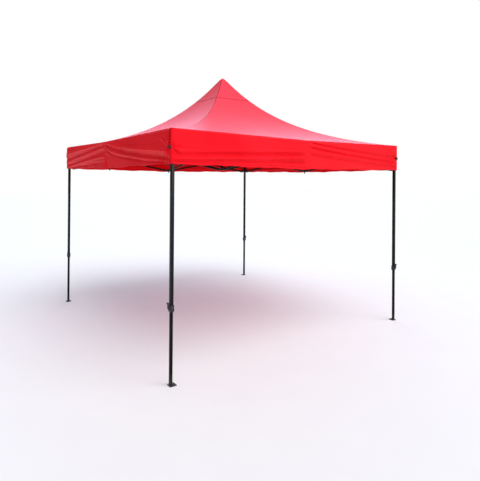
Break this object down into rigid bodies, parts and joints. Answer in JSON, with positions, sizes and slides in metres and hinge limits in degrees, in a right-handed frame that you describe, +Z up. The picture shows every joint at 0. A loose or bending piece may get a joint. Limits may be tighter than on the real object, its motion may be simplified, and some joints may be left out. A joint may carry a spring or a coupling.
{
  "type": "pop up canopy",
  "caption": "Pop up canopy with a peaked red fabric cover and valance on a black folding scissor frame with telescopic legs and flat foot plates.",
  "frame": {"origin": "on the floor, under the peak, at the centre of the four legs", "axes": "+Z up; the four sides run along X and Y; the front side faces -Y"},
  "size_m": [2.975, 2.975, 2.8785],
  "materials": {
    "coated_steel": "black powder coating, satin",
    "inner_steel": "black powder coating, rubbed by the outer tube",
    "black_plastic": "moulded black nylon, fine texture",
    "red_fabric": "coated woven polyester, bright red"
  },
  "bodies": {
    "upper_hub": {"upper_hub": "black_plastic", "canopy_cover": "red_fabric"},
    "front_inner_upper_hub_bar": {"front_inner_upper_hub_bar": "coated_steel"},
    "front_inner_lower_hub_bar": {"front_inner_lower_hub_bar": "coated_steel"},
    "front_middle_upper_node": {"front_middle_upper_node": "black_plastic"},
    "front_middle_lower_node": {"front_middle_lower_node": "black_plastic"},
    "lower_hub": {"lower_hub": "black_plastic", "mast": "inner_steel"},
    "front_side_front_right_slider_bar": {"front_side_front_right_slider_bar": "coated_steel"},
    "front_side_front_right_bracket_bar": {"front_side_front_right_bracket_bar": "coated_steel"},
    "front_right_leg": {"front_right_outer_leg": "coated_steel", "front_right_leg_collar": "black_plastic", "front_right_corner_bracket": "black_plastic"},
    "front_right_slider": {"front_right_slider": "black_plastic"},
    "front_right_inner_leg": {"front_right_inner_leg": "inner_steel"},
    "front_right_adjuster_lever": {"front_right_adjuster_lever": "black_plastic"},
    "front_side_front_left_slider_bar": {"front_side_front_left_slider_bar": "coated_steel"},
    "front_side_front_left_bracket_bar": {"front_side_front_left_bracket_bar": "coated_steel"},
    "right_inner_upper_hub_bar": {"right_inner_upper_hub_bar": "coated_steel"},
    "right_inner_lower_hub_bar": {"right_inner_lower_hub_bar": "coated_steel"},
    "right_middle_upper_node": {"right_middle_upper_node": "black_plastic"},
    "right_middle_lower_node": {"right_middle_lower_node": "black_plastic"},
    "right_side_back_right_slider_bar": {"right_side_back_right_slider_bar": "coated_steel"},
    "right_side_back_right_bracket_bar": {"right_side_back_right_bracket_bar": "coated_steel"},
    "back_right_leg": {"back_right_outer_leg": "coated_steel", "back_right_leg_collar": "black_plastic", "back_right_corner_bracket": "black_plastic"},
    "back_right_slider": {"back_right_slider": "black_plastic"},
    "back_right_inner_leg": {"back_right_inner_leg": "inner_steel"},
    "back_right_adjuster_lever": {"back_right_adjuster_lever": "black_plastic"},
    "right_side_front_right_slider_bar": {"right_side_front_right_slider_bar": "coated_steel"},
    "right_side_front_right_bracket_bar": {"right_side_front_right_bracket_bar": "coated_steel"},
    "back_inner_upper_hub_bar": {"back_inner_upper_hub_bar": "coated_steel"},
    "back_inner_lower_hub_bar": {"back_inner_lower_hub_bar": "coated_steel"},
    "back_middle_upper_node": {"back_middle_upper_node": "black_plastic"},
    "back_middle_lower_node": {"back_middle_lower_node": "black_plastic"},
    "back_side_back_left_slider_bar": {"back_side_back_left_slider_bar": "coated_steel"},
    "back_side_back_left_bracket_bar": {"back_side_back_left_bracket_bar": "coated_steel"},
    "back_left_leg": {"back_left_outer_leg": "coated_steel", "back_left_leg_collar": "black_plastic", "back_left_corner_bracket": "black_plastic"},
    "back_left_slider": {"back_left_slider": "black_plastic"},
    "back_left_inner_leg": {"back_left_inner_leg": "inner_steel"},
    "back_left_adjuster_lever": {"back_left_adjuster_lever": "black_plastic"},
    "back_side_back_right_slider_bar": {"back_side_back_right_slider_bar": "coated_steel"},
    "back_side_back_right_bracket_bar": {"back_side_back_right_bracket_bar": "coated_steel"},
    "left_inner_upper_hub_bar": {"left_inner_upper_hub_bar": "coated_steel"},
    "left_inner_lower_hub_bar": {"left_inner_lower_hub_bar": "coated_steel"},
    "left_middle_upper_node": {"left_middle_upper_node": "black_plastic"},
    "left_middle_lower_node": {"left_middle_lower_node": "black_plastic"},
    "left_side_front_left_slider_bar": {"left_side_front_left_slider_bar": "coated_steel"},
    "left_side_front_left_bracket_bar": {"left_side_front_left_bracket_bar": "coated_steel"},
    "front_left_leg": {"front_left_outer_leg": "coated_steel", "front_left_leg_collar": "black_plastic", "front_left_corner_bracket": "black_plastic"},
    "front_left_slider": {"front_left_slider": "black_plastic"},
    "front_left_inner_leg": {"front_left_inner_leg": "inner_steel"},
    "front_left_adjuster_lever": {"front_left_adjuster_lever": "black_plastic"},
    "left_side_back_left_slider_bar": {"left_side_back_left_slider_bar": "coated_steel"},
    "left_side_back_left_bracket_bar": {"left_side_back_left_bracket_bar": "coated_steel"}
  },
  "joints": [
    {"name": "canopy_fold", "type": "hinge", "parent": "upper_hub", "child": "front_inner_upper_hub_bar", "pos_m": [0.007, -0.055, 1.99], "axis": [1, 0, 0], "range_deg": [0, 73.8], "deforming": ["canopy_cover"]},
    {"name": "front_lower_node_pivot", "type": "hinge", "parent": "front_inner_upper_hub_bar", "child": "front_middle_lower_node", "pos_m": [0.007, -1.405, 1.748], "axis": [1, 0, 0], "range_deg": [-73.8, 0]},
    {"name": "front_inner_crossing", "type": "hinge", "parent": "front_inner_upper_hub_bar", "child": "front_inner_lower_hub_bar", "pos_m": [0, -0.73, 1.869], "axis": [1, 0, 0], "range_deg": [-147.6, 0]},
    {"name": "front_upper_node_pivot", "type": "hinge", "parent": "front_inner_lower_hub_bar", "child": "front_middle_upper_node", "pos_m": [-0.007, -1.405, 1.99], "axis": [1, 0, 0], "range_deg": [0, 73.8]},
    {"name": "lower_hub_pivot", "type": "hinge", "parent": "front_inner_lower_hub_bar", "child": "lower_hub", "pos_m": [-0.007, -0.055, 1.748], "axis": [1, 0, 0], "range_deg": [0, 73.8]},
    {"name": "front_side_front_right_node_pivot", "type": "hinge", "parent": "front_middle_upper_node", "child": "front_side_front_right_slider_bar", "pos_m": [0.045, -1.457, 1.99], "axis": [0, 1, 0], "range_deg": [0, 73.8]},
    {"name": "front_side_front_right_crossing", "type": "hinge", "parent": "front_side_front_right_slider_bar", "child": "front_side_front_right_bracket_bar", "pos_m": [0.72, -1.45, 1.869], "axis": [0, 1, 0], "range_deg": [-147.6, 0]},
    {"name": "front_right_bracket_pivot", "type": "hinge", "parent": "front_side_front_right_bracket_bar", "child": "front_right_leg", "pos_m": [1.395, -1.443, 1.99], "axis": [0, 1, 0], "range_deg": [0, 73.8]},
    {"name": "front_right_slider_pivot", "type": "hinge", "parent": "front_side_front_right_slider_bar", "child": "front_right_slider", "pos_m": [1.395, -1.457, 1.748], "axis": [0, 1, 0], "range_deg": [-73.8, 0]},
    {"name": "front_right_leg_height", "type": "slide", "parent": "front_right_leg", "child": "front_right_inner_leg", "axis": [0, 0, 1], "range_m": [0, 0.5]},
    {"name": "front_right_lever_press", "type": "hinge", "parent": "front_right_leg", "child": "front_right_adjuster_lever", "pos_m": [1.45, -1.4705, 0.622], "axis": [1, 0, 0], "range_deg": [0, 12], "stiffness_Nm_per_rad": 0.6},
    {"name": "front_side_front_left_node_pivot", "type": "hinge", "parent": "front_middle_upper_node", "child": "front_side_front_left_slider_bar", "pos_m": [-0.045, -1.457, 1.99], "axis": [0, -1, 0], "range_deg": [0, 73.8]},
    {"name": "front_side_front_left_crossing", "type": "hinge", "parent": "front_side_front_left_slider_bar", "child": "front_side_front_left_bracket_bar", "pos_m": [-0.72, -1.45, 1.869], "axis": [0, -1, 0], "range_deg": [-147.6, 0]},
    {"name": "right_upper_hub_pivot", "type": "hinge", "parent": "upper_hub", "child": "right_inner_upper_hub_bar", "pos_m": [0.055, 0.007, 1.99], "axis": [0, 1, 0], "range_deg": [0, 73.8]},
    {"name": "right_lower_node_pivot", "type": "hinge", "parent": "right_inner_upper_hub_bar", "child": "right_middle_lower_node", "pos_m": [1.405, 0.007, 1.748], "axis": [0, 1, 0], "range_deg": [-73.8, 0]},
    {"name": "right_inner_crossing", "type": "hinge", "parent": "right_inner_upper_hub_bar", "child": "right_inner_lower_hub_bar", "pos_m": [0.73, 0, 1.869], "axis": [0, 1, 0], "range_deg": [-147.6, 0]},
    {"name": "right_upper_node_pivot", "type": "hinge", "parent": "right_inner_lower_hub_bar", "child": "right_middle_upper_node", "pos_m": [1.405, -0.007, 1.99], "axis": [0, 1, 0], "range_deg": [0, 73.8]},
    {"name": "right_side_back_right_node_pivot", "type": "hinge", "parent": "right_middle_upper_node", "child": "right_side_back_right_slider_bar", "pos_m": [1.457, 0.045, 1.99], "axis": [-1, 0, 0], "range_deg": [0, 73.8]},
    {"name": "right_side_back_right_crossing", "type": "hinge", "parent": "right_side_back_right_slider_bar", "child": "right_side_back_right_bracket_bar", "pos_m": [1.45, 0.72, 1.869], "axis": [-1, 0, 0], "range_deg": [-147.6, 0]},
    {"name": "back_right_bracket_pivot", "type": "hinge", "parent": "right_side_back_right_bracket_bar", "child": "back_right_leg", "pos_m": [1.443, 1.395, 1.99], "axis": [-1, 0, 0], "range_deg": [0, 73.8]},
    {"name": "back_right_slider_pivot", "type": "hinge", "parent": "right_side_back_right_slider_bar", "child": "back_right_slider", "pos_m": [1.457, 1.395, 1.748], "axis": [-1, 0, 0], "range_deg": [-73.8, 0]},
    {"name": "back_right_leg_height", "type": "slide", "parent": "back_right_leg", "child": "back_right_inner_leg", "axis": [0, 0, 1], "range_m": [0, 0.5]},
    {"name": "back_right_lever_press", "type": "hinge", "parent": "back_right_leg", "child": "back_right_adjuster_lever", "pos_m": [1.4705, 1.45, 0.622], "axis": [0, 1, 0], "range_deg": [0, 12], "stiffness_Nm_per_rad": 0.6},
    {"name": "right_side_front_right_node_pivot", "type": "hinge", "parent": "right_middle_upper_node", "child": "right_side_front_right_slider_bar", "pos_m": [1.457, -0.045, 1.99], "axis": [1, 0, 0], "range_deg": [0, 73.8]},
    {"name": "right_side_front_right_crossing", "type": "hinge", "parent": "right_side_front_right_slider_bar", "child": "right_side_front_right_bracket_bar", "pos_m": [1.45, -0.72, 1.869], "axis": [1, 0, 0], "range_deg": [-147.6, 0]},
    {"name": "back_upper_hub_pivot", "type": "hinge", "parent": "upper_hub", "child": "back_inner_upper_hub_bar", "pos_m": [-0.007, 0.055, 1.99], "axis": [-1, 0, 0], "range_deg": [0, 73.8]},
    {"name": "back_lower_node_pivot", "type": "hinge", "parent": "back_inner_upper_hub_bar", "child": "back_middle_lower_node", "pos_m": [-0.007, 1.405, 1.748], "axis": [-1, 0, 0], "range_deg": [-73.8, 0]},
    {"name": "back_inner_crossing", "type": "hinge", "parent": "back_inner_upper_hub_bar", "child": "back_inner_lower_hub_bar", "pos_m": [0, 0.73, 1.869], "axis": [-1, 0, 0], "range_deg": [-147.6, 0]},
    {"name": "back_upper_node_pivot", "type": "hinge", "parent": "back_inner_lower_hub_bar", "child": "back_middle_upper_node", "pos_m": [0.007, 1.405, 1.99], "axis": [-1, 0, 0], "range_deg": [0, 73.8]},
    {"name": "back_side_back_left_node_pivot", "type": "hinge", "parent": "back_middle_upper_node", "child": "back_side_back_left_slider_bar", "pos_m": [-0.045, 1.457, 1.99], "axis": [0, -1, 0], "range_deg": [0, 73.8]},
    {"name": "back_side_back_left_crossing", "type": "hinge", "parent": "back_side_back_left_slider_bar", "child": "back_side_back_left_bracket_bar", "pos_m": [-0.72, 1.45, 1.869], "axis": [0, -1, 0], "range_deg": [-147.6, 0]},
    {"name": "back_left_bracket_pivot", "type": "hinge", "parent": "back_side_back_left_bracket_bar", "child": "back_left_leg", "pos_m": [-1.395, 1.443, 1.99], "axis": [0, -1, 0], "range_deg": [0, 73.8]},
    {"name": "back_left_slider_pivot", "type": "hinge", "parent": "back_side_back_left_slider_bar", "child": "back_left_slider", "pos_m": [-1.395, 1.457, 1.748], "axis": [0, -1, 0], "range_deg": [-73.8, 0]},
    {"name": "back_left_leg_height", "type": "slide", "parent": "back_left_leg", "child": "back_left_inner_leg", "axis": [0, 0, 1], "range_m": [0, 0.5]},
    {"name": "back_left_lever_press", "type": "hinge", "parent": "back_left_leg", "child": "back_left_adjuster_lever", "pos_m": [-1.45, 1.4705, 0.622], "axis": [-1, 0, 0], "range_deg": [0, 12], "stiffness_Nm_per_rad": 0.6},
    {"name": "back_side_back_right_node_pivot", "type": "hinge", "parent": "back_middle_upper_node", "child": "back_side_back_right_slider_bar", "pos_m": [0.045, 1.457, 1.99], "axis": [0, 1, 0], "range_deg": [0, 73.8]},
    {"name": "back_side_back_right_crossing", "type": "hinge", "parent": "back_side_back_right_slider_bar", "child": "back_side_back_right_bracket_bar", "pos_m": [0.72, 1.45, 1.869], "axis": [0, 1, 0], "range_deg": [-147.6, 0]},
    {"name": "left_upper_hub_pivot", "type": "hinge", "parent": "upper_hub", "child": "left_inner_upper_hub_bar", "pos_m": [-0.055, -0.007, 1.99], "axis": [0, -1, 0], "range_deg": [0, 73.8]},
    {"name": "left_lower_node_pivot", "type": "hinge", "parent": "left_inner_upper_hub_bar", "child": "left_middle_lower_node", "pos_m": [-1.405, -0.007, 1.748], "axis": [0, -1, 0], "range_deg": [-73.8, 0]},
    {"name": "left_inner_crossing", "type": "hinge", "parent": "left_inner_upper_hub_bar", "child": "left_inner_lower_hub_bar", "pos_m": [-0.73, 0, 1.869], "axis": [0, -1, 0], "range_deg": [-147.6, 0]},
    {"name": "left_upper_node_pivot", "type": "hinge", "parent": "left_inner_lower_hub_bar", "child": "left_middle_upper_node", "pos_m": [-1.405, 0.007, 1.99], "axis": [0, -1, 0], "range_deg": [0, 73.8]},
    {"name": "left_side_front_left_node_pivot", "type": "hinge", "parent": "left_middle_upper_node", "child": "left_side_front_left_slider_bar", "pos_m": [-1.457, -0.045, 1.99], "axis": [1, 0, 0], "range_deg": [0, 73.8]},
    {"name": "left_side_front_left_crossing", "type": "hinge", "parent": "left_side_front_left_slider_bar", "child": "left_side_front_left_bracket_bar", "pos_m": [-1.45, -0.72, 1.869], "axis": [1, 0, 0], "range_deg": [-147.6, 0]},
    {"name": "front_left_bracket_pivot", "type": "hinge", "parent": "left_side_front_left_bracket_bar", "child": "front_left_leg", "pos_m": [-1.443, -1.395, 1.99], "axis": [1, 0, 0], "range_deg": [0, 73.8]},
    {"name": "front_left_slider_pivot", "type": "hinge", "parent": "left_side_front_left_slider_bar", "child": "front_left_slider", "pos_m": [-1.457, -1.395, 1.748], "axis": [1, 0, 0], "range_deg": [-73.8, 0]},
    {"name": "front_left_leg_height", "type": "slide", "parent": "front_left_leg", "child": "front_left_inner_leg", "axis": [0, 0, 1], "range_m": [0, 0.5]},
    {"name": "front_left_lever_press", "type": "hinge", "parent": "front_left_leg", "child": "front_left_adjuster_lever", "pos_m": [-1.4705, -1.45, 0.622], "axis": [0, -1, 0], "range_deg": [0, 12], "stiffness_Nm_per_rad": 0.6},
    {"name": "left_side_back_left_node_pivot", "type": "hinge", "parent": "left_middle_upper_node", "child": "left_side_back_left_slider_bar", "pos_m": [-1.457, 0.045, 1.99], "axis": [-1, 0, 0], "range_deg": [0, 73.8]},
    {"name": "left_side_back_left_crossing", "type": "hinge", "parent": "left_side_back_left_slider_bar", "child": "left_side_back_left_bracket_bar", "pos_m": [-1.45, 0.72, 1.869], "axis": [-1, 0, 0], "range_deg": [-147.6, 0]}
  ],
  "couplings": [
    {"joint": "front_lower_node_pivot", "follows": "canopy_fold", "ratio": -1},
    {"joint": "front_inner_crossing", "follows": "canopy_fold", "ratio": -2},
    {"joint": "front_upper_node_pivot", "follows": "canopy_fold", "ratio": 1},
    {"joint": "lower_hub_pivot", "follows": "canopy_fold", "ratio": 1},
    {"joint": "front_side_front_right_node_pivot", "follows": "canopy_fold", "ratio": 1},
    {"joint": "front_side_front_right_crossing", "follows": "canopy_fold", "ratio": -2},
    {"joint": "front_right_bracket_pivot", "follows": "canopy_fold", "ratio": 1},
    {"joint": "front_right_slider_pivot", "follows": "canopy_fold", "ratio": -1},
    {"joint": "front_side_front_left_node_pivot", "follows": "canopy_fold", "ratio": 1},
    {"joint": "front_side_front_left_crossing", "follows": "canopy_fold", "ratio": -2},
    {"joint": "right_upper_hub_pivot", "follows": "canopy_fold", "ratio": 1},
    {"joint": "right_lower_node_pivot", "follows": "canopy_fold", "ratio": -1},
    {"joint": "right_inner_crossing", "follows": "canopy_fold", "ratio": -2},
    {"joint": "right_upper_node_pivot", "follows": "canopy_fold", "ratio": 1},
    {"joint": "right_side_back_right_node_pivot", "follows": "canopy_fold", "ratio": 1},
    {"joint": "right_side_back_right_crossing", "follows": "canopy_fold", "ratio": -2},
    {"joint": "back_right_bracket_pivot", "follows": "canopy_fold", "ratio": 1},
    {"joint": "back_right_slider_pivot", "follows": "canopy_fold", "ratio": -1},
    {"joint": "right_side_front_right_node_pivot", "follows": "canopy_fold", "ratio": 1},
    {"joint": "right_side_front_right_crossing", "follows": "canopy_fold", "ratio": -2},
    {"joint": "back_upper_hub_pivot", "follows": "canopy_fold", "ratio": 1},
    {"joint": "back_lower_node_pivot", "follows": "canopy_fold", "ratio": -1},
    {"joint": "back_inner_crossing", "follows": "canopy_fold", "ratio": -2},
    {"joint": "back_upper_node_pivot", "follows": "canopy_fold", "ratio": 1},
    {"joint": "back_side_back_left_node_pivot", "follows": "canopy_fold", "ratio": 1},
    {"joint": "back_side_back_left_crossing", "follows": "canopy_fold", "ratio": -2},
    {"joint": "back_left_bracket_pivot", "follows": "canopy_fold", "ratio": 1},
    {"joint": "back_left_slider_pivot", "follows": "canopy_fold", "ratio": -1},
    {"joint": "back_side_back_right_node_pivot", "follows": "canopy_fold", "ratio": 1},
    {"joint": "back_side_back_right_crossing", "follows": "canopy_fold", "ratio": -2},
    {"joint": "left_upper_hub_pivot", "follows": "canopy_fold", "ratio": 1},
    {"joint": "left_lower_node_pivot", "follows": "canopy_fold", "ratio": -1},
    {"joint": "left_inner_crossing", "follows": "canopy_fold", "ratio": -2},
    {"joint": "left_upper_node_pivot", "follows": "canopy_fold", "ratio": 1},
    {"joint": "left_side_front_left_node_pivot", "follows": "canopy_fold", "ratio": 1},
    {"joint": "left_side_front_left_crossing", "follows": "canopy_fold", "ratio": -2},
    {"joint": "front_left_bracket_pivot", "follows": "canopy_fold", "ratio": 1},
    {"joint": "front_left_slider_pivot", "follows": "canopy_fold", "ratio": -1},
    {"joint": "left_side_back_left_node_pivot", "follows": "canopy_fold", "ratio": 1},
    {"joint": "left_side_back_left_crossing", "follows": "canopy_fold", "ratio": -2}
  ]
}
